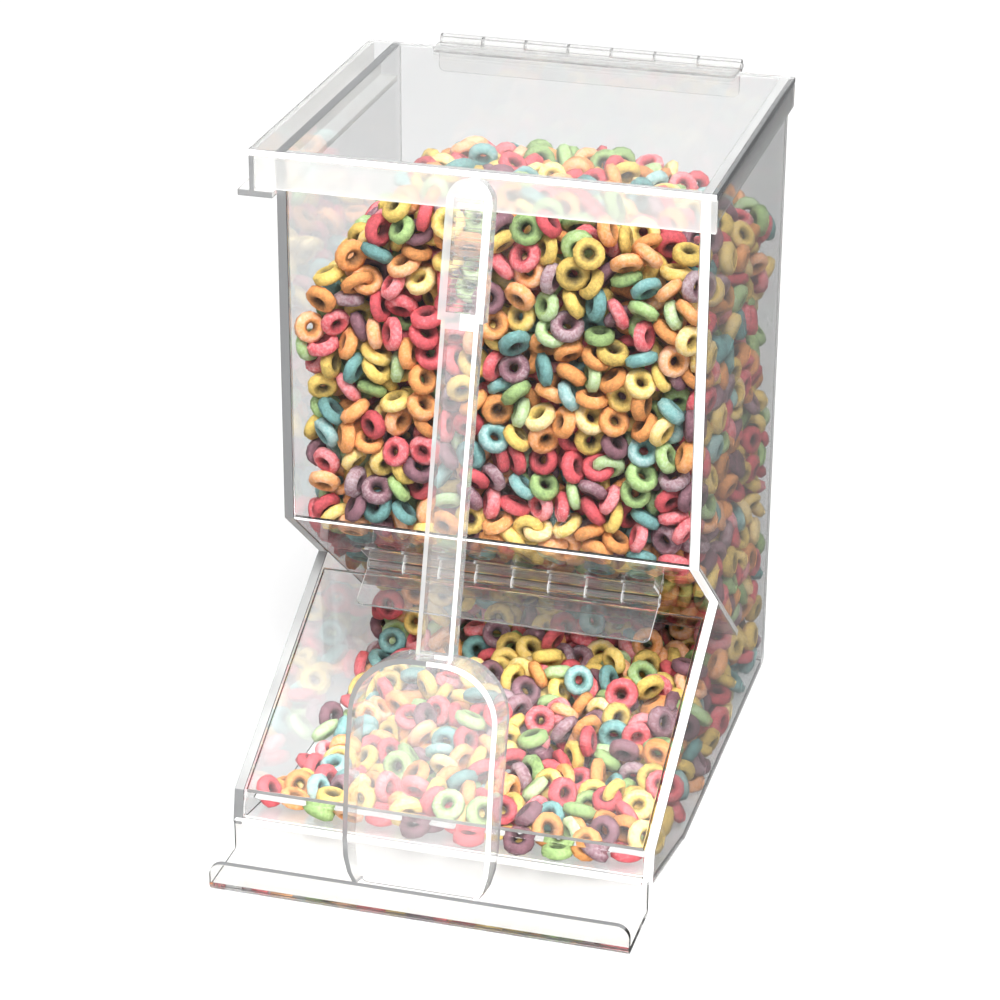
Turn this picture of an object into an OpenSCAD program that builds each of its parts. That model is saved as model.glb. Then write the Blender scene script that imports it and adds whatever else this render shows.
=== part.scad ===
// Clear acrylic candy bin with a hinged lid, a hinged scoop door, a front scoop tray and a long scoop.
// Frame: +Z up, millimetres. X runs left to right, Y runs front to back.
// Origin: on the counter, on the centre line, under the front face of the hopper.

/* [Body] */
// Outside width of the bin
body_w = 190; // [150:1:260]
// Depth from the hopper's front face to the back face
body_d = 165; // [130:1:220]
// Height of the open body under the lid
body_h = 298.3; // [240:0.1:360]
// Thickness of the two side sheets
side_t = 4.5; // [3:0.1:6]
// Thickness of the other sheets
sheet_t = 3; // [2:0.1:5]
// Height of the hopper front panel's lower edge
hopper_z = 128; // [100:1:170]
// Depth of the waist, where the door starts
waist_y = 45; // [20:1:70]
// Height of the waist
waist_z = 90.9; // [70:0.1:120]
// How far the baffle sheet reaches back
baffle_y = 97; // [70:1:120]
// Height of the baffle's inner end
baffle_z = 48; // [35:1:70]
// How far the front of the lower compartment stands out
knee_y = 73; // [50:1:100]
// Height of the knee, the lower end of the door
knee_z = 29.5; // [22:1:45]
// How far the bottom front edge stands out
toe_y = 76; // [50:1:105]
// Height of the bottom front edge
toe_z = 14; // [8:1:24]
// Where the floor starts to rise towards the front
rise_y = 12; // [0:1:40]

/* [Scoop tray] */
// Width of the tray
tray_w = 187; // [150:1:260]
// Clear depth of the tray
tray_d = 29; // [15:1:50]
// Height of the tray's front lip
tray_lip_h = 14; // [8:1:30]
// Corner radius of the front lip
tray_r = 6; // [2:0.5:10]

/* [Lid] */
// Top of the lid plate
lid_top_z = 301.5; // [245:0.1:370]
// Right edge of the lid plate
lid_right_x = 97.8; // [80:0.1:130]
// Left edge of the lid plate
lid_left_x = 106; // [80:0.1:130]
// Height of the right skirt strip
skirt_h = 11; // [6:0.5:20]
// Height of the front lip strip
lip_h = 14.5; // [8:0.5:25]
// Height of the left rail under the plate
rail_h = 15.5; // [8:0.5:25]
// Width of the left rail's foot
foot_w = 16; // [8:0.5:25]

/* [Hinges] */
// Barrel radius of both hinges
barrel_r = 3.2; // [2.5:0.1:4.5]
// Pin radius of both hinges
pin_r = 1.2; // [0.8:0.05:1.8]
// Radial gap between the pin and the moving knuckles
pin_gap = 0.05; // [0.02:0.01:0.1]
// Length of the lid hinge
lid_hinge_l = 144; // [80:1:180]
// Knuckles of the lid hinge
lid_knuckles = 7; // [3:1:11]
// Length of the door hinge
door_hinge_l = 138; // [80:1:170]
// Knuckles of the door hinge
door_knuckles = 8; // [3:1:12]
// Gap between knuckles
knuckle_gap = 0.3; // [0.1:0.05:0.8]
// Thickness of the hinge leaves
leaf_t = 1.6; // [1:0.1:2.5]
// Width of the lid hinge leaves
lid_leaf_w = 13; // [8:0.5:20]
// Width of the door hinge leaves
door_leaf_w = 20; // [10:0.5:30]

/* [Scoop] */
// Length of the scoop
scoop_l = 308; // [220:1:360]
// Width of the blade
blade_w = 66; // [45:1:90]
// Length of the blade with its shoulders
blade_l = 105; // [70:1:140]
// Depth of the blade at the shoulders
blade_d = 20; // [10:1:30]
// Depth of the blade at the tip
tip_d = 11; // [6:1:20]
// Wall of the blade
blade_t = 2.2; // [1.5:0.1:4]
// Width of the handle
handle_w = 16.5; // [10:0.5:26]
// Depth of the handle channel
handle_d = 8; // [5:0.5:14]
// Width of the grip at the top of the handle
grip_w = 20; // [14:0.5:30]
// Length of the grip
grip_l = 60; // [30:1:90]
// Ribs in the grip
ribs = 12; // [4:1:20]
// Lean of the scoop from upright
lean = 15.5; // [5:0.1:30]
// How far the scoop's back stands in front of the hopper face, at the counter
scoop_y = 89.5; // [60:0.1:120]
// How far the scoop stands left of the centre line
scoop_x = 4; // [-40:0.5:40]

/* [Hidden] */
in_w = body_w - 2 * side_t;
xs = in_w / 2;
door_a = atan2(waist_z - knee_z, waist_y + knee_y);
baf_a = atan2(hopper_z - baffle_z, baffle_y);
// Lid hinge axis
lh_y = body_d + 3.5;
lh_z = lid_top_z + 1.5;
// Door hinge axis, measured from the waist along the baffle and square to it
dh_y = waist_y - 2.8 * cos(baf_a) - 3.5 * sin(baf_a);
dh_z = waist_z + 2.8 * sin(baf_a) - 3.5 * cos(baf_a);
$fn = 48;

// A profile drawn as [y, z] points and drawn out along X from x0 over w
module along_x(x0, w) {
    translate([x0, 0, 0]) rotate([90, 0, 90]) linear_extrude(height = w) children();
}

// Outline of a side sheet, with a softened back bottom corner
module side_outline() {
    polygon([[0, body_h], [0, hopper_z], [waist_y, waist_z], [-knee_y, knee_z], [-toe_y, toe_z],
             [-rise_y, 0], [body_d - 3, 0], [body_d - 1.5, 0.4], [body_d - 0.4, 1.5],
             [body_d, 3], [body_d, body_h]]);
}

module left_panel() {
    color([0.93, 0.94, 0.94, 0.4]) along_x(-body_w / 2, side_t) side_outline();
}

module right_panel() {
    color([0.93, 0.94, 0.94, 0.4]) along_x(xs, side_t) side_outline();
}

module back_panel() {
    color([0.9, 0.91, 0.92, 0.4])
        translate([-xs, body_d - sheet_t, sheet_t]) cube([in_w, sheet_t, body_h - sheet_t]);
}

module front_panel() {
    color([0.94, 0.95, 0.95, 0.4])
        translate([-xs, 0, hopper_z]) cube([in_w, sheet_t, body_h - hopper_z]);
}

// Slanted sheet under the hopper front, carried on past the waist to hold the food back
module baffle_panel() {
    k = tan(baf_a);
    color([0.92, 0.92, 0.9, 0.4]) along_x(-xs, in_w)
        polygon([[0, hopper_z], [baffle_y, baffle_z],
                 [baffle_y + sheet_t * sin(baf_a), baffle_z + sheet_t * cos(baf_a)],
                 [sheet_t, hopper_z - sheet_t * k + sheet_t / cos(baf_a)], [sheet_t, hopper_z]]);
}

// Flat floor with its front end bent up
module floor_panel() {
    s = toe_z / (toe_y - rise_y);
    color([0.92, 0.93, 0.92, 0.4]) along_x(-xs, in_w)
        polygon([[body_d - sheet_t, 0], [body_d - sheet_t, sheet_t], [-rise_y + 0.3, sheet_t],
                 [-toe_y, toe_z + sheet_t + 0.1], [-toe_y, toe_z], [-rise_y, 0]]);
}

// Low wall that holds the food back under the door
module retaining_lip() {
    color([0.93, 0.94, 0.94, 0.4]) along_x(-xs, in_w)
        polygon([[-toe_y + 0.85, toe_z + 2.93], [-toe_y + 3, toe_z + 12],
                 [-toe_y + 6, toe_z + 13.6], [-toe_y + 3.9, toe_z + 2.27]]);
}

// One bent sheet: riser, shelf and front lip with rounded corners
module scoop_tray() {
    y0 = -toe_y;
    y1 = -toe_y - sheet_t;
    y2 = y1 - tray_d;
    y3 = y2 - sheet_t;
    color([0.93, 0.94, 0.94, 0.4]) intersection() {
        along_x(-tray_w / 2, tray_w) difference() {
            union() {
                translate([y1, sheet_t]) square([sheet_t, toe_z]);
                translate([y2, 0]) square([tray_d, sheet_t]);
                translate([y3, sheet_t]) square([sheet_t, tray_lip_h - sheet_t]);
                translate([y1, sheet_t]) circle(r = sheet_t);
                translate([y2, sheet_t]) circle(r = sheet_t);
            }
            translate([y2, sheet_t]) square([tray_d, tray_lip_h]);
        }
        union() {
            translate([-tray_w / 2, y3 + sheet_t + 0.2, -1]) cube([tray_w, tray_d + sheet_t + 1, 40]);
            translate([0, y0 + 1, 0]) rotate([90, 0, 0]) linear_extrude(height = tray_d + 2 * sheet_t + 3)
                union() {
                    translate([-tray_w / 2 + tray_r, -1]) square([tray_w - 2 * tray_r, tray_lip_h + 1]);
                    translate([-tray_w / 2, -1]) square([tray_w, tray_lip_h + 1 - tray_r]);
                    for (s = [-1, 1]) translate([s * (tray_w / 2 - tray_r), tray_lip_h - tray_r])
                        circle(r = tray_r);
                }
        }
    }
}

module lid_plate() {
    color([0.95, 0.96, 0.96, 0.4]) translate([-lid_left_x, -3.6, lid_top_z - sheet_t])
        cube([lid_left_x + lid_right_x, body_d - 0.6 + 3.6, sheet_t]);
}

module lid_front_lip() {
    color([0.96, 0.97, 0.97, 0.4])
        translate([-lid_left_x + 2.4, -3.6, lid_top_z - sheet_t - lip_h])
            cube([lid_left_x - 2.4 + lid_right_x, sheet_t, lip_h]);
}

module lid_right_skirt() {
    color([0.9, 0.91, 0.92, 0.4])
        translate([lid_right_x - 2.4, -0.6, lid_top_z - sheet_t - skirt_h])
            cube([2.4, body_d - 0.6, skirt_h]);
}

// Upright strip under the overhanging left edge of the lid, standing on a flat foot
module lid_left_rail() {
    z0 = lid_top_z - sheet_t - rail_h;
    color([0.93, 0.94, 0.94, 0.4]) union() {
        translate([-lid_left_x, -3.6, z0]) cube([2.4, body_d + 3, rail_h]);
        translate([-lid_left_x - 5.4, -3.6, z0 - 3]) cube([foot_w, body_d + 3, 3]);
    }
}

// Every second knuckle of a hinge lying along X, with its bore
module knuckles(len, count, first, bore) {
    p = len / count;
    for (i = [first : 2 : count - 1])
        translate([-len / 2 + i * p + knuckle_gap / 2, 0, 0]) rotate([0, 90, 0])
            difference() {
                cylinder(r = barrel_r, h = p - knuckle_gap);
                translate([0, 0, -1]) cylinder(r = bore, h = p + 2);
            }
}

// Leaf plate reaching under its own knuckles and stopping short of the others.
// The plate lies in the X and -Y directions from the axis, from height z0 up.
module leaf(len, count, first, w, z0, bore) {
    p = len / count;
    stop = barrel_r + 0.45;
    difference() {
        union() {
            translate([-len / 2 + knuckle_gap / 2, -w - barrel_r, z0])
                cube([len - knuckle_gap, w + barrel_r - stop, leaf_t]);
            for (i = [first : 2 : count - 1])
                translate([-len / 2 + i * p + knuckle_gap / 2, -stop - 0.01, z0])
                    cube([p - knuckle_gap, stop + 0.01, leaf_t]);
            knuckles(len, count, first, bore);
        }
        rotate([0, 90, 0]) translate([0, 0, -len]) cylinder(r = bore, h = 2 * len);
        // the two far corners of the leaf are rounded
        for (s = [-1, 1]) translate([s * (len / 2 - 3 - knuckle_gap / 2), -w - barrel_r + 3, z0 - 1])
            difference() {
                translate([s > 0 ? 0 : -3.1, -3.1, 0]) cube([3.1, 3.1, leaf_t + 2]);
                translate([0, 0, -1]) cylinder(r = 3, h = leaf_t + 4);
            }
    }
}

// Leaf on the back face of the back panel, hanging down from the axis
module lid_hinge_back_leaf() {
    color([0.9, 0.91, 0.92, 0.5]) translate([0, lh_y, lh_z]) rotate([90, 0, 0])
        leaf(lid_hinge_l, lid_knuckles, 0, lid_leaf_w, 3.5 - leaf_t, pin_r);
}

// Leaf on top of the lid plate
module lid_hinge_top_leaf() {
    color([0.92, 0.93, 0.93, 0.5]) translate([0, lh_y, lh_z])
        leaf(lid_hinge_l, lid_knuckles, 1, lid_leaf_w, -1.5, pin_r + pin_gap);
}

module lid_hinge_pin() {
    color([0.85, 0.86, 0.87, 0.7]) translate([-lid_hinge_l / 2 - 0.5, lh_y, lh_z]) rotate([0, 90, 0])
        cylinder(r = pin_r, h = lid_hinge_l + 1);
}

// Door sheet, inset between the sides, flush with their slanted front edges
module door_panel() {
    l = sqrt(pow(waist_y + knee_y, 2) + pow(waist_z - knee_z, 2));
    color([0.95, 0.96, 0.96, 0.4]) translate([0, waist_y, waist_z]) rotate([door_a, 0, 0])
        translate([-xs + 0.8, -l + 0.6, -sheet_t]) cube([in_w - 1.6, l - 9.6, sheet_t]);
}

// Leaf under the baffle, pointing up and forward from the axis, with 0.1 mm for the cement
module door_hinge_fixed_leaf() {
    color([0.9, 0.91, 0.91, 0.5]) translate([0, dh_y, dh_z]) rotate([-baf_a, 0, 0])
        leaf(door_hinge_l, door_knuckles, 0, door_leaf_w - 4, 3.4 - leaf_t, pin_r);
}

// Leaf on the outer face of the door
module door_hinge_moving_leaf() {
    // height of the door's outer face over the hinge axis, square to the door
    m = (waist_z - dh_z) * cos(door_a) - (waist_y - dh_y) * sin(door_a);
    color([0.92, 0.93, 0.93, 0.5]) translate([0, dh_y, dh_z]) rotate([door_a, 0, 0])
        leaf(door_hinge_l, door_knuckles, 1, door_leaf_w, m + 0.05, pin_r + pin_gap);
}

module door_hinge_pin() {
    color([0.85, 0.86, 0.87, 0.7]) translate([-door_hinge_l / 2 - 0.5, dh_y, dh_z]) rotate([0, 90, 0])
        cylinder(r = pin_r, h = door_hinge_l + 1);
}

// Plan outline of the blade at a given inset from its outside, tip at the bottom
function blade_pts(o) =
    let (h = blade_w / 2 - o, tip = 24.5 - o, n = handle_w / 2 - o, r = 26)
    concat([[-tip, -0.01], [tip, -0.01]],
        [for (a = [0 : 15 : 60]) [tip + (h - tip) * sin(a * 1.5), 22 * (1 - cos(a * 1.5))]],
        [for (a = [0 : 10 : 90]) [h - (h - n) * (1 - cos(a)), 80 + (blade_l - o - 80) * sin(a)]],
        [for (a = [90 : -10 : 0]) [-h + (h - n) * (1 - cos(a)), 80 + (blade_l - o - 80) * sin(a)]],
        [for (a = [60 : -15 : 0]) [-tip - (h - tip) * sin(a * 1.5), 22 * (1 - cos(a * 1.5))]]);

// The scoop in its own frame: tip down, back face on Y = 0, open side towards -Y
module scoop_body() {
    hl = scoop_l - blade_l;
    difference() {
        union() {
            // blade, a trough with a floor and walls
            difference() {
                rotate([90, 0, 0]) linear_extrude(height = blade_d) polygon(blade_pts(0));
                translate([0, -blade_t, 0]) rotate([90, 0, 0]) linear_extrude(height = blade_d)
                    polygon(blade_pts(blade_t));
                translate([-blade_w / 2, -blade_d - 1, -1]) cube([blade_w, blade_d + 1 - blade_t, 3]);
                // walls get lower towards the tip
                translate([-blade_w, -tip_d, -0.1]) rotate([atan2(blade_d - tip_d, 62), 0, 0])
                    translate([0, -30, -30]) cube([2 * blade_w, 30, 100]);
            }
            // handle channel
            translate([-handle_w / 2, -handle_d, blade_l - 3]) cube([handle_w, handle_d, hl - grip_l + 5]);
            // wider grip with a rounded end
            translate([-grip_w / 2, -handle_d, scoop_l - grip_l])
                cube([grip_w, handle_d, grip_l - grip_w / 2]);
            translate([0, 0, scoop_l - grip_w / 2]) rotate([90, 0, 0])
                cylinder(r = grip_w / 2, h = handle_d);
        }
        // hollow of the channel, open to the front
        translate([-handle_w / 2 + 2, -handle_d - 1, blade_l + 0.5])
            cube([handle_w - 4, handle_d - 1, hl - grip_l - 4]);
        // hollow of the grip
        translate([-grip_w / 2 + 3.5, -handle_d - 1, scoop_l - grip_l + 3.5])
            cube([grip_w - 7, handle_d - 1.5, grip_l - 12]);
    }
    // ribs across the grip
    for (i = [0 : ribs - 1])
        translate([-grip_w / 2 + 3, -handle_d + 0.8, scoop_l - grip_l + 5.6 + i * (grip_l - 16) / (ribs - 1)])
            cube([grip_w - 6, handle_d - 2.8, 1.5]);
}

module scoop() {
    color([0.94, 0.95, 0.95, 0.45])
        translate([-scoop_x, -scoop_y, sheet_t + 0.3]) rotate([-lean, 0, 0]) scoop_body();
}

left_panel();
right_panel();
back_panel();
front_panel();
baffle_panel();
floor_panel();
retaining_lip();
scoop_tray();
lid_plate();
lid_front_lip();
lid_right_skirt();
lid_left_rail();
lid_hinge_back_leaf();
lid_hinge_top_leaf();
lid_hinge_pin();
door_panel();
door_hinge_fixed_leaf();
door_hinge_moving_leaf();
door_hinge_pin();
scoop();
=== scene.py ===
# A clear sheet-plastic candy bin full of ring cereal, with a hinged lid, a hinged door and a long scoop.
import math
import bmesh
import bpy
import numpy as np
from mathutils import Matrix, Vector


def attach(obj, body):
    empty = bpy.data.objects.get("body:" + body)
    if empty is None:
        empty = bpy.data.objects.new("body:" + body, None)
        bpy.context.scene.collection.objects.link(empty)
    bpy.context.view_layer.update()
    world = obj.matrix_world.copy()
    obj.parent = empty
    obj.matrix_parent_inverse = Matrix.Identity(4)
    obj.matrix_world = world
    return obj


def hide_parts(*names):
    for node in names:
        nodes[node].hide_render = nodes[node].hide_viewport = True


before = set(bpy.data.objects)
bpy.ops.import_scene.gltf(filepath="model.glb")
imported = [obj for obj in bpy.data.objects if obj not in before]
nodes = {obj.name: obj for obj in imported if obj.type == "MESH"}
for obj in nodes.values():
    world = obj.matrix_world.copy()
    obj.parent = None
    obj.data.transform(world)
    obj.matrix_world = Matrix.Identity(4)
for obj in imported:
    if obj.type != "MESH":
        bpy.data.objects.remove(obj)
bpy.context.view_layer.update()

# The camera stands to the right of the bin and above it, as the photographer did.
# A long lens, about 1.4 m away, keeps the sheets nearly parallel in the picture.
camera_place = (0.34616, -1.21822, 0.73835)
camera_right = (0.963187, 0.268742, 0.006971)
camera_up = (-0.116968, 0.395588, 0.910949)
camera_back = (0.242052, -0.87823, 0.412459)
camera = bpy.data.objects.new("camera", bpy.data.cameras.new("camera"))
bpy.context.scene.collection.objects.link(camera)
bpy.context.scene.camera = camera
camera.data.lens = 114.963
camera.data.shift_x = -0.0118
camera.data.shift_y = -0.0325
camera.data.clip_start = 0.05
camera.data.clip_end = 30
turned = Matrix((camera_right, camera_up, camera_back)).transposed().to_4x4()
camera.matrix_world = Matrix.Translation(camera_place) @ turned
bpy.context.scene.view_settings.view_transform = "Standard"

# The stage is a plain white floor and an even white surround, with a soft key light and a softer top light.
# The floor looks white to the camera and through the plastic, and keeps a faint shadow of the bin.
# What mirrors the stage sees it dimmer, so that the sheets stay clear.
floor_reach = 8
floor_drop = 0.0004
even_white = 0.6
mirror_dimming = 0.8
surround_light = 0.3
straight_extra = 0.7
mirrored_extra = 0.35
bounces = 28
mirror_bounces = 6
suns = {
    "key": {"place": (0.45, -1.05, 1.45), "softness": 20, "strength": 3.2},
    "top": {"place": (0.1, -0.1, 1.7), "softness": 50, "strength": 0.7},
}


class Wire:
    """A socket in a node tree, so that shader maths reads as plain sums."""

    def __init__(self, tree, plug=None):
        self.tree = tree
        self.plug = plug

    def node(self, kind, settings=None, values=None, out=0):
        """Adds a node with its settings and socket values, and gives a wire from one of its outputs."""
        made = self.tree.nodes.new(kind)
        for key, value in (settings or {}).items():
            if key == "stops":
                stops = made.color_ramp.elements
                while len(stops) < len(value):
                    stops.new(1.0)
                for stop, (place, shade) in zip(stops, value):
                    stop.position = place
                    stop.color = (*shade, 1)
            else:
                setattr(made, key, value)
        for key, value in (values or {}).items():
            if isinstance(value, Wire):
                self.tree.links.new(value.plug, made.inputs[key])
            else:
                made.inputs[key].default_value = value
        return Wire(self.tree, made.outputs[out] if made.outputs else None)

    def maths(self, operation, *values):
        return self.node("ShaderNodeMath", {"operation": operation}, dict(enumerate(values)))

    def __add__(self, other):
        return self.maths("ADD", self, other)

    def __radd__(self, other):
        return self.maths("ADD", other, self)

    def __sub__(self, other):
        return self.maths("SUBTRACT", self, other)

    def __rsub__(self, other):
        return self.maths("SUBTRACT", other, self)

    def __mul__(self, other):
        return self.maths("MULTIPLY", self, other)

    def __rmul__(self, other):
        return self.maths("MULTIPLY", other, self)


def material(name):
    """An empty node material and the wire that starts its maths."""
    made = bpy.data.materials.new(name)
    made.use_nodes = True
    made.node_tree.nodes.clear()
    return made, Wire(made.node_tree)


def surface(wire, shader):
    """Connects the finished shader to the material's output."""
    wire.node("ShaderNodeOutputMaterial", None, {"Surface": shader})


def plainly_seen(wire):
    """Two masks of rays that no matt surface has scattered: those never mirrored, and those mirrored."""
    seen = wire.node("ShaderNodeLightPath", None, None, "Is Camera Ray")
    gloss = wire.node("ShaderNodeLightPath", None, None, "Is Glossy Ray")
    through = wire.node("ShaderNodeLightPath", None, None, "Is Transmission Ray")
    mirrors = wire.node("ShaderNodeLightPath", None, None, "Glossy Depth")
    scattered = wire.node("ShaderNodeLightPath", None, None, "Diffuse Depth")
    any_sight = wire.maths("MAXIMUM", wire.maths("MAXIMUM", seen, gloss), through)
    early = wire.maths("LESS_THAN", scattered, 0.5) * any_sight
    unmirrored = wire.maths("LESS_THAN", mirrors, 0.5)
    return early * unmirrored, early * (1.0 - unmirrored)


bm = bmesh.new()
bmesh.ops.create_grid(bm, x_segments=1, y_segments=1, size=floor_reach)
bmesh.ops.translate(bm, verts=bm.verts, vec=(0, 0, -floor_drop))
floor_mesh = bpy.data.meshes.new("studio_floor")
bm.to_mesh(floor_mesh)
bm.free()
studio_floor = bpy.data.objects.new("studio_floor", floor_mesh)
bpy.context.scene.collection.objects.link(studio_floor)

white, wire = material("studio_white")
matt = wire.node("ShaderNodeBsdfDiffuse", None, {"Color": (0.96, 0.96, 0.96, 1)})
straight, mirrored = plainly_seen(wire)
glow_strength = 1.0 - mirror_dimming * mirrored
lit = wire.node("ShaderNodeEmission", None, {"Color": (1, 1, 1, 1), "Strength": glow_strength})
lit_share = straight * even_white + mirrored
surface(wire, wire.node("ShaderNodeMixShader", None, {0: lit_share, 1: matt, 2: lit}))
floor_mesh.materials.append(white)

world = bpy.data.worlds.new("studio")
bpy.context.scene.world = world
world.use_nodes = True
world.node_tree.nodes.clear()
wire = Wire(world.node_tree)
straight, mirrored = plainly_seen(wire)
brightness = surround_light + straight * straight_extra + mirrored * mirrored_extra
surround = wire.node("ShaderNodeBackground", None, {"Color": (1, 1, 1, 1), "Strength": brightness})
wire.node("ShaderNodeOutputWorld", None, {"Surface": surround})

for name, sun in suns.items():
    lamp = bpy.data.lights.new(name, "SUN")
    lamp.angle = math.radians(sun["softness"])
    lamp.energy = sun["strength"]
    stand = bpy.data.objects.new(name, lamp)
    bpy.context.scene.collection.objects.link(stand)
    stand.location = sun["place"]
    stand.rotation_mode = "QUATERNION"
    stand.rotation_quaternion = Vector(sun["place"]).to_track_quat("Z", "Y")

rays = bpy.context.scene.cycles
rays.max_bounces = bounces
rays.transmission_bounces = bounces
rays.transparent_max_bounces = bounces
rays.glossy_bounces = mirror_bounces

# The cereal is a bulk fill of small baked rings, about 14.5 mm across, in six colours.
# It lies as it was poured: heaped in the hopper, and spread under the baffle behind the door.
# Each ring is settled as eight beads on a hoop, pushed apart and kept inside the sheets.
mm = 0.001
tube = 2.65 * mm
hoop = 4.6 * mm
beads = 8
rng = np.random.default_rng(11)

# The room inside the bin, as points in Y and Z round its outline, and half of its width.
half_room = 90.5 * mm
lip_foot = (-72.5, 16.6)
floor_bend = (-11.7, 3)
back_foot = (162, 3)
back_rim = (162, 298)
front_rim = (3, 298)
front_foot = (3, 129.4)
baffle_end_top = (98.9, 50.3)
baffle_end = (97, 48)
waist = (45.2, 90.4)
hinge_foot = (42, 86)
knee = (-69.6, 27.4)
cavity = np.array([
    lip_foot, floor_bend, back_foot, back_rim, front_rim, front_foot,
    baffle_end_top, baffle_end, waist, hinge_foot, knee]) * mm

# The heap in the hopper: its peak, how far it falls each way, and where each fall starts and how far it runs.
heap_peak = 0.288
left_fall = 0.070
left_fall_saved_at_back = 0.035
left_start = 0.04
left_run = 0.049
right_fall = 0.019
right_start = 0.02
right_run = 0.07
back_fall = 0.027
back_run = 0.162


def heap_top(x, y):
    """Height of the cereal in the hopper."""
    left = np.clip((-x - left_start) / left_run, 0, 1) ** 2
    far = np.clip(y / back_run, 0, 1)
    right = np.clip((x - right_start) / right_run, 0, 1) ** 1.5
    to_left = (left_fall - left_fall_saved_at_back * far) * left
    return heap_peak - to_left - back_fall * far ** 2 - right_fall * right


# The spread under the baffle: the floor with its bent front, and the cereal's depth on it.
floor_top = 0.003
bend_rise = 0.014
bend_start = -0.012
bend_run = 0.064
low_depth = 0.016
front_swell = 0.001
back_swell = 0.031
swell_left = 0.088
swell_front = 0.072
swell_run = 0.1


def heap_low(x, y):
    """Height of the cereal under the baffle."""
    floor = floor_top + bend_rise * np.clip((bend_start - y) / bend_run, 0, 1)
    across = np.clip((x + swell_left) / swell_run, 0, 1)
    far = np.clip((y + swell_front) / swell_run, 0, 1)
    return floor + low_depth + (front_swell + back_swell * far) * across * across * (3 - 2 * across)


def wall_gap(points):
    """Distance from points to the cavity's outline in Y and Z, positive inside, and the way inwards."""
    flat = points[:, None, 1:]
    start = cavity
    end = np.roll(cavity, -1, 0)
    edge = end - start
    along = np.clip(((flat - start) * edge).sum(2) / (edge * edge).sum(1), 0, 1)
    off = flat - start - along[..., None] * edge
    distance = np.sqrt((off ** 2).sum(2))
    nearest = distance.argmin(1)
    row = np.arange(len(points))
    straddled = (start[:, 1] > flat[..., 1]) != (end[:, 1] > flat[..., 1])
    rise = np.where(edge[:, 1] == 0, 1e-9, edge[:, 1])
    crossing = start[:, 0] + (flat[..., 1] - start[:, 1]) * edge[:, 0] / rise
    crossed = straddled & (flat[..., 0] < crossing)
    sign = np.where(crossed.sum(1) % 2 == 1, 1, -1)
    gap = distance[row, nearest]
    return sign * gap, off[row, nearest] / np.maximum(gap, 1e-9)[:, None] * sign[:, None]


baffle_front = 0.003
baffle_top = 0.1294
baffle_slope = 0.8247
baffle_reach = 0.098
heap_slant = 0.9


def depth(points):
    """How deep points lie in the cereal, from the nearest sheet or the heap's surface, and that surface."""
    gap, _ = wall_gap(points)
    x, y, z = points[:, 0], points[:, 1], points[:, 2]
    hopper = z > baffle_top - baffle_slope * (y - baffle_front)
    top = np.where(hopper | (y > baffle_reach), heap_top(x, y), heap_low(x, y))
    to_sheet = np.minimum(gap, half_room - np.abs(x))
    return np.minimum(to_sheet, (top - z) * heap_slant), top


def meetings(points, reach):
    """Pairs of beads of different rings that are closer than reach, found cell by cell."""
    cell = np.floor(points / reach).astype(np.int64)
    cell -= cell.min(0) - 1
    rows = cell[:, 1].max() + 2
    layers = cell[:, 2].max() + 2
    key = (cell[:, 0] * rows + cell[:, 1]) * layers + cell[:, 2]
    order = np.argsort(key, kind="stable")
    ranked = key[order]
    near = (-1, 0, 1)
    steps = [
        (i * rows + j) * layers + k
        for i in near for j in near for k in near if (i, j, k) >= (0, 0, 0)]
    first = []
    second = []
    for step in steps:
        low = np.searchsorted(ranked, key + step, "left")
        high = np.searchsorted(ranked, key + step, "right")
        found = high - low
        one = np.repeat(np.arange(len(points)), found)
        place = np.arange(found.sum()) - np.repeat(np.cumsum(found) - found, found)
        other = order[place + np.repeat(low, found)]
        keep = one // beads != other // beads
        if step == 0:
            keep &= one < other
        one = one[keep]
        other = other[keep]
        close = ((points[one] - points[other]) ** 2).sum(1) < reach * reach
        first.append(one[close])
        second.append(other[close])
    return np.concatenate(first), np.concatenate(second)


# The rings start on a loose grid, each turned at random, and sink as they push each other apart.
pitch = 11.0 * mm
jitter = 0.3
least_depth = 2.5 * mm
sinking = 0.06 * mm
eagerness = 1.6
most_levelling = 0.6 * mm
steps = 90
across = np.arange(-0.088, 0.089, pitch)
along = np.arange(-0.076, 0.16, pitch)
upwards = np.arange(0.006, 0.292, pitch)
grid = np.stack(np.meshgrid(across, along, upwards, indexing="ij"), -1).reshape(-1, 3)
grid += rng.uniform(-jitter, jitter, grid.shape) * pitch
grid = grid[depth(grid)[0] > least_depth]
turn = rng.normal(size=(len(grid), 3, 3))
turn, _ = np.linalg.qr(turn)
turn *= np.sign(np.linalg.det(turn))[:, None, None]
angle = np.arange(beads) * 2 * math.pi / beads
circle = np.stack([hoop * np.cos(angle), hoop * np.sin(angle), 0 * angle], 1)
placed = grid[:, None] + circle @ turn.transpose(0, 2, 1)
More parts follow.
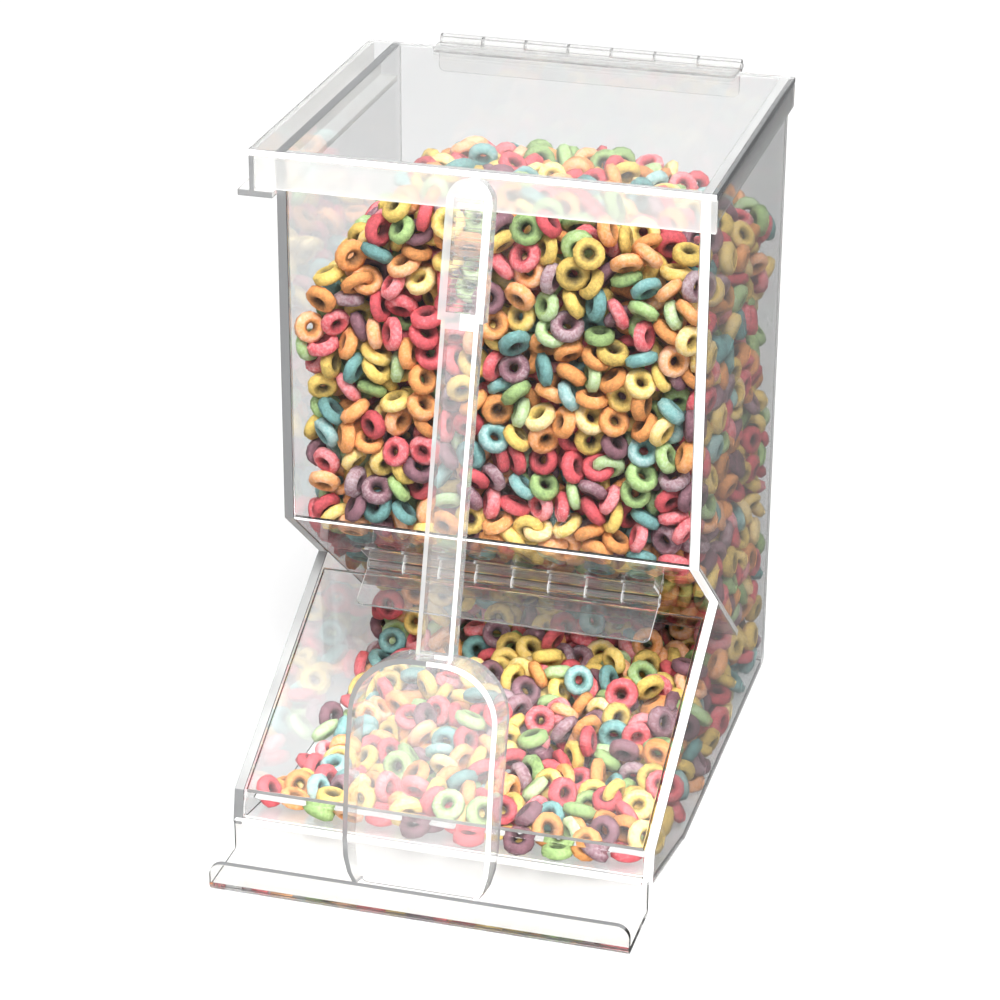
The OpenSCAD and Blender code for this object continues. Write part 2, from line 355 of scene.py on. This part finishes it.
for _ in range(steps):
    loose = placed.reshape(-1, 3)
    loose[:, 2] -= sinking
    one, other = meetings(loose, 2 * tube)
    apart = loose[one] - loose[other]
    distance = np.sqrt((apart ** 2).sum(1))
    push = apart * ((2 * tube - distance) / np.maximum(distance, 1e-6) * 0.5)[:, None]
    total_beads = len(loose)
    count = np.bincount(one, minlength=total_beads) + np.bincount(other, minlength=total_beads)
    for axis in range(3):
        forth = np.bincount(one, push[:, axis], total_beads)
        total = forth - np.bincount(other, push[:, axis], total_beads)
        loose[:, axis] += total / np.maximum(count, 1) * eagerness
    gap, way = wall_gap(loose)
    short = np.clip(tube - gap, 0, None)
    loose[:, 1:] += way * short[:, None]
    loose[:, 0] = np.clip(loose[:, 0], -half_room + tube, half_room - tube)
    _, top = depth(loose)
    loose[:, 2] -= np.clip(loose[:, 2] - top, 0, most_levelling)
    placed = loose.reshape(-1, beads, 3)
    middle = placed.mean(1)
    u, _, v = np.linalg.svd((placed - middle[:, None]).transpose(0, 2, 1) @ circle)
    mirror = np.sign(np.linalg.det(u @ v))
    u[:, :, 2] *= mirror[:, None]
    turn = u @ v
    placed = middle[:, None] + circle @ turn.transpose(0, 2, 1)

# One ring is spun from a six-sided tube, and copied with its own size and tone to every place.
tube_sides = 6
ring_sides = 12
tube_swell = 1.08
bm = bmesh.new()
upright = Matrix.Translation((hoop, 0, 0)) @ Matrix.Rotation(math.pi / 2, 4, "X")
bmesh.ops.create_circle(bm, segments=tube_sides, radius=tube * tube_swell, matrix=upright)
bmesh.ops.spin(
    bm, geom=bm.verts[:] + bm.edges[:], cent=(0, 0, 0), axis=(0, 0, 1),
    angle=2 * math.pi, steps=ring_sides, use_merge=True)
bmesh.ops.recalc_face_normals(bm, faces=bm.faces)
for face in bm.faces:
    face.smooth = True
one_ring = bpy.data.meshes.new("one_ring")
bm.to_mesh(one_ring)
bm.free()
# Each ring carries a painted shade that darkens its colour towards its hole, where shade falls.
one_ring.attributes.new("tone", "FLOAT", "POINT")
inward = one_ring.attributes.new("inward", "FLOAT", "POINT")
hole_shade_amount = [min(max((hoop - v.co.xy.length) / tube, 0), 1) for v in one_ring.vertices]
inward.data.foreach_set("value", hole_shade_amount)

# Each flavour has its colour and its share of the rings.
flavours = {
    "pink": ((0.68, 0.10, 0.12), 0.21),
    "orange": ((0.80, 0.33, 0.10), 0.21),
    "yellow": ((0.80, 0.56, 0.14), 0.22),
    "green": ((0.34, 0.50, 0.19), 0.13),
    "blue": ((0.17, 0.37, 0.36), 0.1),
    "purple": ((0.24, 0.11, 0.14), 0.13),
}
shares = [share for _, share in flavours.values()]
kinds = rng.choice(len(flavours), len(middle), p=shares)
for n, (flavour, (shade, _)) in enumerate(flavours.items()):
    bm = bmesh.new()
    for k in np.nonzero(kinds == n)[0]:
        copy = one_ring.copy()
        size = rng.uniform(0.94, 1.05)
        length = size * rng.uniform(0.95, 1.05)
        thickness = size * rng.uniform(0.95, 1.1)
        shaped = Matrix.Diagonal((length, size, thickness, 1))
        copy.transform(Matrix.Translation(middle[k]) @ Matrix(turn[k].tolist()).to_4x4() @ shaped)
        own_tone = np.full(len(copy.vertices), rng.uniform(), np.float32)
        copy.attributes["tone"].data.foreach_set("value", own_tone)
        bm.from_mesh(copy)
        bpy.data.meshes.remove(copy)
    mesh = bpy.data.meshes.new("cereal_" + flavour)
    bm.to_mesh(mesh)
    bm.free()
    rings = bpy.data.objects.new("cereal_" + flavour, mesh)
    bpy.context.scene.collection.objects.link(rings)
    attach(rings, "bin")

    baked, wire = material("baked_" + flavour)
    spot = wire.node("ShaderNodeTexCoord", None, None, "Object")
    grain = wire.node("ShaderNodeTexNoise", None, {
        "Vector": spot, "Scale": 700.0, "Detail": 3.0, "Roughness": 0.65})
    blotch = wire.node("ShaderNodeTexNoise", None, {"Vector": spot, "Scale": 160.0, "Detail": 2.0})
    own = wire.node("ShaderNodeAttribute", {"attribute_name": "tone"}, None, "Fac")
    painted_hole_darkness = wire.node("ShaderNodeAttribute", {"attribute_name": "inward"}, None, "Fac")
    light = tuple(0.6 * c + 0.4 for c in shade)
    dark = tuple(0.5 * c for c in shade)
    deep = tuple(0.13 * c for c in shade)
    stops = [(0.0, deep), (0.3, dark), (0.55, shade), (0.85, light)]
    # The level is random grain, blotches and tone, less the painted shade towards the hole, which reaches the
    # darkest stop.
    level = grain * 0.55 + blotch * 0.25 + own * 0.3 - painted_hole_darkness * 0.5
    mottle = wire.node("ShaderNodeValToRGB", {"stops": stops}, {0: level})
    dimple = wire.node("ShaderNodeBump", None, {
        "Strength": 0.5, "Distance": 0.0006, "Height": grain + blotch})
    surface(wire, wire.node("ShaderNodeBsdfPrincipled", None, {
        "Base Color": mottle, "Roughness": 0.62 + 0.25 * grain, "Normal": dimple}))
    mesh.materials.append(baked)
bpy.data.meshes.remove(one_ring)

# The two side sheets are 4.5 mm clear acrylic, with the back, front, baffle and floor glued between them.
# Lamps reach the cereal through the plastic, as they do through the real sheet.
# Each piece is the CAD's own shape with its edges eased, a hair smaller so that glued sheets share no face.
side_round = 0.5
weld = 0.002
glue_gap = 0.05
flat_angle = 0.01
eased_angle = 0.5
crease_angle = 1.0
rim_height = 0.29


def clear_plastic(name, tint, rough=0.0, clear=1.0, painted_glow=0.0, ior=1.49):
    """Clear or milky plastic with faint wiping marks in its gloss, and an optional glow that is painted
    light.
    """
    lamp_light = 0.94
    made, wire = material(name)
    spot = wire.node("ShaderNodeTexCoord", None, None, "Object")
    rub = wire.node("ShaderNodeTexNoise", None, {"Vector": spot, "Scale": 14.0, "Detail": 4.0})
    body = wire.node("ShaderNodeBsdfPrincipled", None, {
        "Base Color": (*tint, 1),
        "Roughness": wire.maths("MAXIMUM", rub * 0.12 - 0.06, 0.0) + rough,
        "IOR": ior, "Transmission Weight": clear,
        "Emission Color": (*tint, 1), "Emission Strength": painted_glow})
    lamp = wire.node("ShaderNodeLightPath", None, None, "Is Shadow Ray")
    open_way = wire.node("ShaderNodeBsdfTransparent", None, {
        "Color": (lamp_light, lamp_light, lamp_light, 1)})
    surface(wire, wire.node("ShaderNodeMixShader", None, {0: lamp, 1: body, 2: open_way}))
    return made


def dressed(name, body, plastic, width, edges=None, halves=None):
    """Replaces a CAD node by a slightly smaller copy, with its edges rounded off by width in mm.

    edges picks other plastic for a face by its normal and centre, and halves is an X that parts its faces.
    """
    bm = bmesh.new()
    bm.from_mesh(nodes[name].data)
    bmesh.ops.remove_doubles(bm, verts=bm.verts, dist=weld * mm)
    bmesh.ops.dissolve_limit(bm, angle_limit=flat_angle, verts=bm.verts, edges=bm.edges)
    if halves is not None:
        whole = bm.verts[:] + bm.edges[:] + bm.faces[:]
        bmesh.ops.bisect_plane(bm, geom=whole, plane_co=(halves, 0, 0), plane_no=(1, 0, 0))
    bm.normal_update()
    for v in bm.verts:
        v.co -= v.normal * glue_gap * mm
    slots = [plastic]
    for face in bm.faces:
        own = edges(face.normal, face.calc_center_median()) if edges else None
        if own and own not in slots:
            slots.append(own)
        face.material_index = slots.index(own) if own else 0
    sharp = [e for e in bm.edges if len(e.link_faces) == 2 and e.calc_face_angle(0) > eased_angle]
    bmesh.ops.bevel(
        bm, geom=sharp, offset=width * mm, segments=2, profile=0.5,
        affect="EDGES", clamp_overlap=True, material=-1)
    for face in bm.faces:
        face.smooth = True
    for e in bm.edges:
        e.smooth = len(e.link_faces) == 2 and e.calc_face_angle(0) < crease_angle
    mesh = bpy.data.meshes.new(name + "_fine")
    bm.to_mesh(mesh)
    bm.free()
    piece = bpy.data.objects.new(name + "_fine", mesh)
    bpy.context.scene.collection.objects.link(piece)
    for slot in slots:
        mesh.materials.append(slot)
    flat = piece.modifiers.new("flat_faces", "WEIGHTED_NORMAL")
    flat.mode = "FACE_AREA"
    flat.weight = 100
    flat.keep_sharp = True
    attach(piece, body)
    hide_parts(name)


def left_edges(normal, centre):
    """Painted dark shade along the rim, painted grey shade to the front and painted pale light elsewhere."""
    if abs(normal.x) > 0.5:
        return None
    if normal.z > 0.5 and centre.z > rim_height:
        return dark_shade_edge
    return grey_shade_edge if normal.y < -0.9 else painted_pale_edge


def right_edges(normal, centre):
    """A painted highlight to the front and along the low slanted edges, and painted pale light elsewhere."""
    if abs(normal.x) > 0.5:
        return None
    return highlight_edge if normal.y < -0.1 or (normal.z > 0.1 and centre.z < 0.2) else painted_pale_edge


acrylic = clear_plastic("clear_acrylic", tint=(0.97, 0.975, 0.975))
# The right sheet is tinted darker than the left as painted shade.
shaded_right_acrylic = clear_plastic("shaded_clear_side_acrylic", tint=(0.87, 0.875, 0.875))
# The cut edges of the clear sheets carry painted light and shade: the dark and grey edges are painted shade.
dark_shade_edge = clear_plastic("dark_shade_edge", tint=(0.13, 0.135, 0.14), clear=0.15, rough=0.2, ior=1.2)
grey_shade_edge = clear_plastic("grey_shade_edge", tint=(0.34, 0.345, 0.35), clear=0.25, rough=0.15)
# The pale edge is painted light on the cut edges, and the bright edge below a painted highlight.
painted_pale_edge = clear_plastic("painted_pale_edge", tint=(0.86, 0.865, 0.86), clear=0.5, rough=0.15)
# The bright edge is a painted highlight, which also glows as painted light.
highlight_edge = clear_plastic("highlight_edge", tint=(0.95, 0.955, 0.95), clear=0.1, rough=0.25, painted_glow=0.3)
dressed("left_panel", "bin", acrylic, side_round, left_edges)
dressed("right_panel", "bin", shaded_right_acrylic, side_round, right_edges)

# The back and the upright front of the hopper are 3 mm clear acrylic, glued between the side sheets.
# Their cut edges carry painted pale light, and the foot of the front a painted highlight.
sheet_round = 0.4


def back_edges(normal, centre):
    return painted_pale_edge if normal.y ** 2 < 0.5 else None


def front_edges(normal, centre):
    return highlight_edge if normal.z < -0.5 else back_edges(normal, centre)


dressed("back_panel", "bin", acrylic, sheet_round, back_edges)
dressed("front_panel", "bin", acrylic, sheet_round, front_edges)


# The baffle is a 3 mm clear sheet, glued in at a slant from the foot of the hopper's front.
# It carries on past the waist into the bin, and its right end, seen through the side sheet, is a painted
# highlight.
# Its top face carries a painted highlight too, and its left end painted pale light.
def baffle_edges(normal, centre):
    if normal.x > 0.5 or normal.z > 0.9:
        return highlight_edge
    return painted_pale_edge if normal.x < -0.5 else None


dressed("baffle_panel", "bin", acrylic, sheet_round, baffle_edges)

# The floor is a 3 mm clear sheet with its front bent up, glued between the side sheets.
# The retaining lip is a low clear wall across its front, which keeps the cereal in under the door.
door_acrylic = clear_plastic("clear_door_acrylic", tint=(0.98, 0.985, 0.985))


# The floor's front edge carries a painted highlight.
def floor_edges(normal, centre):
    return highlight_edge if normal.y < -0.9 else None


# The retaining lip's underside carries a painted highlight.
def retaining_edges(normal, centre):
    return highlight_edge if normal.z < -0.5 else None


dressed("floor_panel", "bin", acrylic, sheet_round, floor_edges)
dressed("retaining_lip", "bin", door_acrylic, sheet_round, retaining_edges)

# The tray for the scoop is one clear sheet, bent into a riser, a shelf and an upturned lip.
# It is glued along the front of the bin. The lip's top edge is painted grey shade and the riser's a painted
# highlight.
# The tray's beige-grey tint is painted shade, for the bin's shadow seen through it.
shade_tinted_tray_plastic = clear_plastic("shade_tinted_tray", tint=(0.92, 0.912, 0.895))
lowest_top_edge = 0.0125
lip_starts = -0.1


def tray_edges(normal, centre):
    if normal.z < 0.5 or centre.z < lowest_top_edge:
        return None
    return grey_shade_edge if centre.y < lip_starts else highlight_edge


dressed("scoop_tray", "bin", shade_tinted_tray_plastic, sheet_round, tray_edges)

# The lid is a clear acrylic plate with a milky upright strip along its front and a skirt under its right.
# Under its overhanging left edge is a milky strip with a flat foot, and all of them are glued on.
milky = clear_plastic("milky_lip", tint=(0.94, 0.94, 0.925), clear=0.66, rough=0.04)


def lid_edges(normal, centre):
    """A painted highlight to the front, painted dark shade to the right and painted pale light elsewhere."""
    if normal.z ** 2 > 0.3:
        return None
    if normal.y < -0.5:
        return highlight_edge
    return dark_shade_edge if normal.x > 0.5 else painted_pale_edge


# The skirt's underside is painted dark shade, and the rail's front painted grey shade.
def skirt_edges(normal, centre):
    return dark_shade_edge if normal.z < -0.5 else None


def rail_edges(normal, centre):
    return grey_shade_edge if normal.y < -0.5 else None


dressed("lid_plate", "lid", acrylic, sheet_round, lid_edges)
dressed("lid_front_lip", "lid", milky, sheet_round)
dressed("lid_right_skirt", "lid", acrylic, sheet_round, skirt_edges)
dressed("lid_left_rail", "lid", milky, sheet_round, rail_edges)

# The lid hinge is moulded in clear plastic, with one leaf on the back sheet and one on the lid.
# Their knuckles turn on a clear pin along the top of the back.
moulded = clear_plastic("clear_moulding", tint=(0.93, 0.93, 0.925), clear=0.93)
moulding_round = 0.15
dressed("lid_hinge_back_leaf", "bin", moulded, moulding_round)
dressed("lid_hinge_top_leaf", "lid", moulded, moulding_round)
dressed("lid_hinge_pin", "bin", moulded, moulding_round)


# The door is a slanted clear acrylic sheet that hangs from the waist over the lower compartment.
# Its lower edge looks milky.
def door_edges(normal, centre):
    return milky if normal.y < -0.7 else None


dressed("door_panel", "door", door_acrylic, sheet_round, door_edges)


# The door hinge is a clear moulding like the lid's, with one leaf under the baffle and one on the door.
# The ends of its leaves carry a painted highlight, and its knuckles turn on a clear pin.
def leaf_edges(normal, centre):
    return highlight_edge if abs(normal.x) > 0.9 else None


dressed("door_hinge_fixed_leaf", "bin", moulded, moulding_round, leaf_edges)
dressed("door_hinge_moving_leaf", "door", moulded, moulding_round, leaf_edges)
dressed("door_hinge_pin", "bin", moulded, moulding_round)

# The scoop is one clear moulding: a trough blade, a channel handle and a ribbed grip.
# It stands loose in the tray and leans on the front of the bin.
# Its faces are parted down the middle, because the two rims catch the light differently.
scoop_plastic = clear_plastic("clear_scoop", tint=(0.95, 0.95, 0.945), clear=0.87)
scoop_round = 0.3
scoop_middle = -0.004
scoop_foot_y = -0.0895
scoop_foot_z = 0.0033
blade_top = 0.11
rim_depth = 0.0075
lean = math.radians(15.5)


def scoop_edges(normal, centre):
    """The front-facing rim: painted highlight on the right; on the left painted grey shade on the blade, pale
    light above.
    """
    facing = -math.cos(lean) * normal.y + math.sin(lean) * normal.z
    forward = math.sin(lean) * (centre.z - scoop_foot_z) - math.cos(lean) * (centre.y - scoop_foot_y)
    if facing < 0.8 or forward < rim_depth:
        return None
    if centre.x > scoop_middle:
        return highlight_edge
    return painted_pale_edge if centre.z > blade_top else grey_shade_edge


dressed("scoop", "scoop", scoop_plastic, scoop_round, scoop_edges, scoop_middle)
